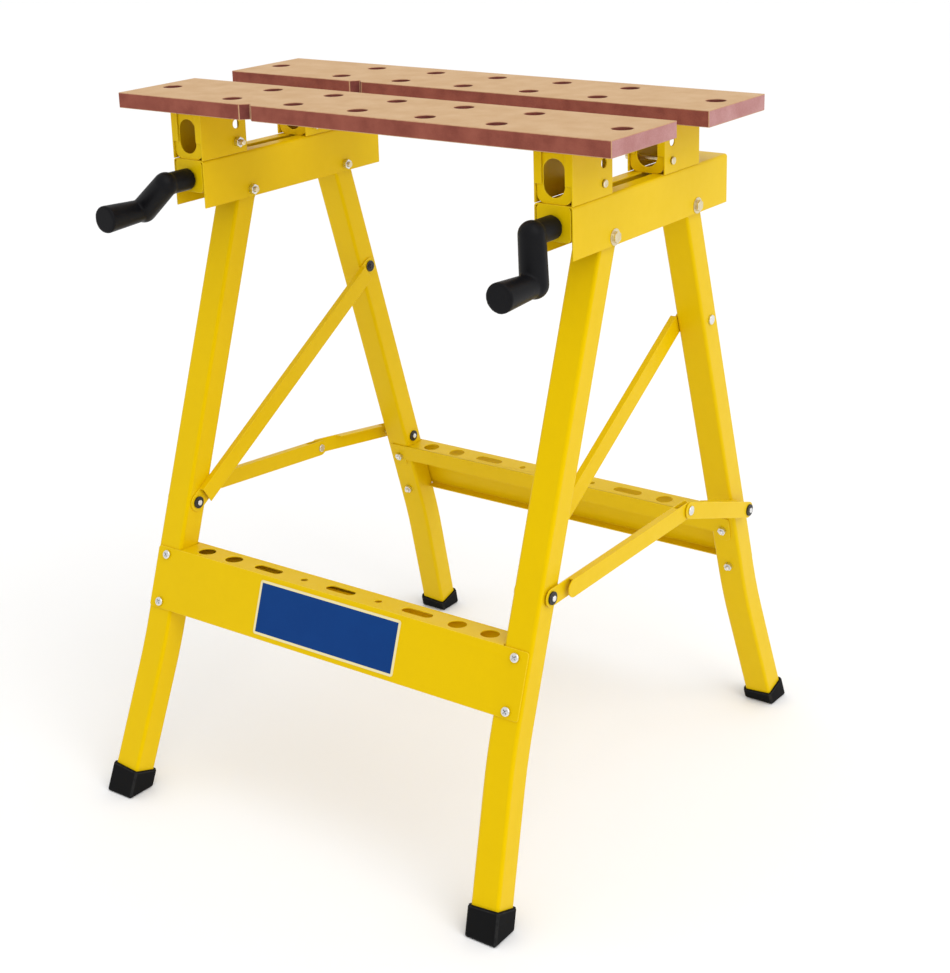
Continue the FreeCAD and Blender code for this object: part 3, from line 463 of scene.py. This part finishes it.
def softenedPiece(node):
    size = next(size for part, size in softening.items() if part in node)
    piece = copyOfNode(node, node + "_finished")
    useFinish(piece, finishOfSlot[slotOfNode[node]])
    bevelEdges(piece, *size)
    smooth(piece)
    handOver(piece, node)


# jaw boards: pale face, red-brown sawn edges, and bore walls painted darker than the edges as painted shade

facing = 0.95  # how squarely a face looks along an axis


def boardPiece(node):
    piece = copyOfNode(node, node + "_finished")
    useFinish(piece, "boardTop", "boardEdge", "boardEnd", "boardBoreShade")
    low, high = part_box(node)
    for face in piece.data.polygons:
        normal, centre = face.normal, face.center
        if abs(normal.z) > facing:
            face.material_index = 0
        elif abs(normal.x) > facing and min(centre.x - low.x, high.x - centre.x) < mm:
            face.material_index = 2
        elif abs(normal.y) > facing and min(centre.y - low.y, high.y - centre.y) < mm:
            face.material_index = 1
        # the remaining faces are the bore walls, which take the painted shade
        else:
            face.material_index = 3
    bevelEdges(piece, *softening["board"])
    smooth(piece)
    handOver(piece, node)


for node in ("front_board", "rear_board"):
    boardPiece(node)
print("boards made")


# crank handles: one moulded skin over hub, arm and grip

crank = {"voxel": 1.1, "smoothing": 0.6, "rounds": 7}


def crankPiece(node):
    piece = copyOfNode(node, node + "_finished")
    useFinish(piece, "crankPlastic")
    remesh = piece.modifiers.new("oneSkin", "REMESH")
    remesh.mode = "VOXEL"
    remesh.voxel_size = crank["voxel"] * mm
    soften = piece.modifiers.new("moulded", "SMOOTH")
    soften.factor = crank["smoothing"]
    soften.iterations = crank["rounds"]
    makeActive(piece)
    for modifier in [item.name for item in piece.modifiers]:
        bpy.ops.object.modifier_apply(modifier=modifier)
    bpy.ops.object.shade_smooth()
    handOver(piece, node)


for node in ("crank_handle_left", "crank_handle_right"):
    crankPiece(node)
print("cranks made")


# label: a plain blue panel with a pale border

label = {"border": 2.6, "step": 0.25, "raised": 0.12}


def labelPiece(node):
    piece = copyOfNode(node, node + "_finished")
    useFinish(piece, "labelBorder", "labelBlue")
    faces = piece.data.polygons
    front = max(faces, key=lambda face: face.area * (face.normal.y < 0)).index
    bpy.ops.object.mode_set(mode="EDIT")
    bpy.ops.mesh.select_mode(type="FACE")
    bpy.ops.mesh.select_all(action="DESELECT")
    bpy.ops.object.mode_set(mode="OBJECT")
    piece.data.polygons[front].select = True
    bpy.ops.object.mode_set(mode="EDIT")
    bpy.ops.mesh.inset(thickness=label["border"] * mm)
    piece.active_material_index = 1
    bpy.ops.object.material_slot_assign()
    bpy.ops.mesh.inset(thickness=label["step"] * mm, depth=-label["raised"] * mm)
    bpy.ops.mesh.select_all(action="DESELECT")
    bpy.ops.object.mode_set(mode="OBJECT")
    smooth(piece)
    handOver(piece, node)


labelPiece("label_plate")
print("label made")


# washers under the pivot bolts

washer = {"radius": 8.2, "thickness": 0.9, "edge": 0.25, "sides": 48}


def pivotWashers():
    rings = []
    pivots = [joint["pos_m"] for joint in frame["joints"]
              if joint["name"] in ("rear_leg_fold", "front_leg_fold")]
    faces = (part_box("channel_left")[0].x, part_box("channel_right")[1].x)
    for face, outward in zip(faces, (-1, 1)):
        for pivot in pivots:
            place = (face + outward * washer["thickness"] / 2 * mm, pivot[1], pivot[2])
            bpy.ops.mesh.primitive_cylinder_add(
                vertices=washer["sides"], radius=washer["radius"] * mm,
                depth=washer["thickness"] * mm, location=place, rotation=(0, math.radians(90), 0))
            rings.append(bpy.context.object)
    return joined(rings, "pivot_washers")


def joined(pieces, name):
    deselectAll()
    for piece in pieces:
        piece.select_set(True)
    bpy.context.view_layer.objects.active = pieces[0]
    bpy.ops.object.join()
    bpy.ops.object.transform_apply(location=True, rotation=True, scale=True)
    pieces[0].name = name
    return pieces[0]


washers = pivotWashers()
useFinish(washers, "yellowZinc")
bevelEdges(washers, washer["edge"], 2, 50)
smooth(washers)
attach(washers, "frame_top")
print("washers made")


# tray screws with a domed head and a cross recess

recess = {"length": 5.2, "width": 1.1, "depth": 1.5, "spins": (45, -45)}
lean = {"front": -19, "rear": 17}  # degrees that the leg frames stand off the upright
headDepth = 0.1


def screwHeads(piece, outward):
    # the middle of each head's outer face, found on loose copies of the screws
    copy = piece.copy()
    copy.data = piece.data.copy()
    bpy.context.scene.collection.objects.link(copy)
    makeActive(copy)
    bpy.ops.object.mode_set(mode="EDIT")
    bpy.ops.mesh.select_all(action="SELECT")
    bpy.ops.mesh.separate(type="LOOSE")
    bpy.ops.object.mode_set(mode="OBJECT")
    heads = []
    for part in list(bpy.context.selected_objects):
        points = [vertex.co.copy() for vertex in part.data.vertices]
        reach = max(point.dot(outward) for point in points)
        top = [point for point in points if point.dot(outward) > reach - headDepth * mm]
        heads.append(sum(top, Vector()) / len(top))
        bpy.data.objects.remove(part)
    return heads


def trayScrewPiece(node, side):
    width, segments, angle = softening["tray_screws"]
    piece = copyOfNode(node, node + "_finished")
    useFinish(piece, finishOfSlot[slotOfNode[node]])
    tilt = Matrix.Rotation(math.radians(lean[side]), 4, "X")
    outward = tilt @ Vector((0, -1 if side == "front" else 1, 0))
    heads = screwHeads(piece, outward)
    bevelEdges(piece, width, segments, angle)
    bars = []
    for head in heads:
        for turn in recess["spins"]:
            spin = Matrix.Rotation(math.radians(turn), 4, outward)
            bpy.ops.mesh.primitive_cube_add(size=1)
            bar = bpy.context.object
            sizes = Matrix.Diagonal((recess["width"] * mm, 2 * recess["depth"] * mm,
                                     recess["length"] * mm, 1))
            bar.matrix_world = Matrix.Translation(head) @ spin @ tilt @ sizes
            bars.append(bar)
    cutter = joined(bars, "recessCutter")
    makeActive(piece)
    carve = piece.modifiers.new("recess", "BOOLEAN")
    carve.operation = "DIFFERENCE"
    carve.object = cutter
    carve.use_self = True
    bpy.ops.object.modifier_apply(modifier=carve.name)
    bpy.data.objects.remove(cutter)
    smooth(piece)
    handOver(piece, node)


for side in lean:
    trayScrewPiece(side + "_tray_screws", side)
print("tray screws made")


# every other node; these stay as they are and only take a finish
kept = ("leg_pivot_spacers", "board_screws", "push_nuts", "vise_screw")
for node in sorted(nodes):
    if node in finished:
        continue
    if any(part in node for part in kept):
        finish = materials[finishOfSlot[slotOfNode[node]]]
        nodes[node].data.materials.clear()
        nodes[node].data.materials.append(finish)
    else:
        softenedPiece(node)
print("metalwork and feet made")
